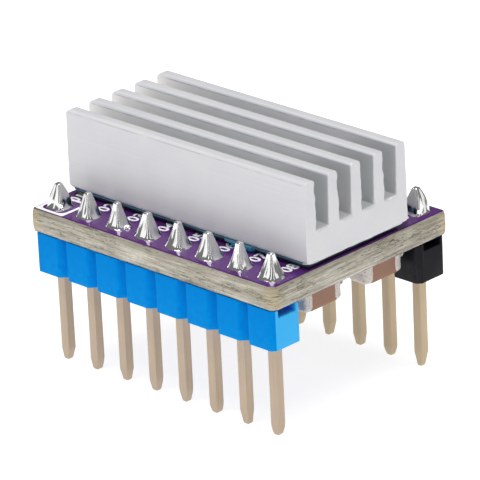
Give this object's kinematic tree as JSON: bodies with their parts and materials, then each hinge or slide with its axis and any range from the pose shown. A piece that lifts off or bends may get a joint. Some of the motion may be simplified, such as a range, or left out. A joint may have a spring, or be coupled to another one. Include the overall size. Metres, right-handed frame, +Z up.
{
  "type": "stepper driver module",
  "caption": "Small plug-in circuit board with two rows of square header pins, a finned aluminium heatsink taped on top, and a driver chip and current-limit trimmer underneath.",
  "frame": {"origin": "on the plane of the pin tips, under the middle of the board", "axes": "+X along the pin rows, from pin 1 to pin 8; +Y from the logic row to the power row; +Z up, from the pin tips to the heatsink's fins"},
  "size_m": [0.0204, 0.0152, 0.0157],
  "materials": {
    "logic_pin_plating": "satin nickel-gold plate on brass",
    "power_pin_plating": "satin light gold plate on brass",
    "solder": "bright frozen solder",
    "logic_plastic": "moulded, blue, slightly glossy",
    "power_plastic": "moulded, black, slightly glossy",
    "board_laminate": "purple solder mask over glass-fibre laminate",
    "heatsink_aluminium": "satin clear anodised",
    "thermal_tape": "soft blue film",
    "chip_epoxy": "moulded epoxy",
    "tinned_copper": "tin plate",
    "capacitor_ceramic": "fired brown ceramic",
    "resistor_glaze": "black glass overcoat",
    "end_cap_tin": "granular fired silver and tin",
    "trimmer_ceramic": "fired white ceramic",
    "trimmer_steel": "stamped stainless steel",
    "wiper_brass": "spring brass",
    "resistive_film": "printed resistive film"
  },
  "bodies": {
    "module": {"bypass_capacitor_1": "capacitor_ceramic", "bypass_capacitor_1_end_caps": "end_cap_tin", "bypass_capacitor_2": "capacitor_ceramic", "bypass_capacitor_2_end_caps": "end_cap_tin", "circuit_board": "board_laminate", "driver_chip": "chip_epoxy", "driver_chip_lands": "tinned_copper", "heatsink": "heatsink_aluminium", "logic_header": "logic_plastic", "logic_pin_1": "logic_pin_plating", "logic_pin_2": "logic_pin_plating", "logic_pin_3": "logic_pin_plating", "logic_pin_4": "logic_pin_plating", "logic_pin_5": "logic_pin_plating", "logic_pin_6": "logic_pin_plating", "logic_pin_7": "logic_pin_plating", "logic_pin_8": "logic_pin_plating", "logic_solder_1": "solder", "logic_solder_2": "solder", "logic_solder_3": "solder", "logic_solder_4": "solder", "logic_solder_5": "solder", "logic_solder_6": "solder", "logic_solder_7": "solder", "logic_solder_8": "solder", "power_header": "power_plastic", "power_pin_1": "power_pin_plating", "power_pin_2": "power_pin_plating", "power_pin_3": "power_pin_plating", "power_pin_4": "power_pin_plating", "power_pin_5": "power_pin_plating", "power_pin_6": "power_pin_plating", "power_pin_7": "power_pin_plating", "power_pin_8": "power_pin_plating", "power_solder_1": "solder", "power_solder_2": "solder", "power_solder_3": "solder", "power_solder_4": "solder", "power_solder_5": "solder", "power_solder_6": "solder", "power_solder_7": "solder", "power_solder_8": "solder", "sense_resistor_1": "resistor_glaze", "sense_resistor_1_end_caps": "end_cap_tin", "sense_resistor_2": "resistor_glaze", "sense_resistor_2_end_caps": "end_cap_tin", "setting_resistor": "resistor_glaze", "setting_resistor_end_caps": "end_cap_tin", "supply_capacitor_1": "capacitor_ceramic", "supply_capacitor_1_end_caps": "end_cap_tin", "supply_capacitor_2": "capacitor_ceramic", "supply_capacitor_2_end_caps": "end_cap_tin", "thermal_tape": "thermal_tape", "trimmer_base": "trimmer_ceramic", "trimmer_terminals": "tinned_copper", "trimmer_track": "resistive_film"},
    "trimmer": {"trimmer_rotor": "trimmer_steel", "trimmer_wiper": "wiper_brass"}
  },
  "joints": [
    {"name": "current_limit_turn", "type": "hinge", "parent": "module", "child": "trimmer", "pos_m": [-0.0074, 0, 0.0075], "axis": [0, 0, 1], "range_deg": [-130, 130]}
  ]
}
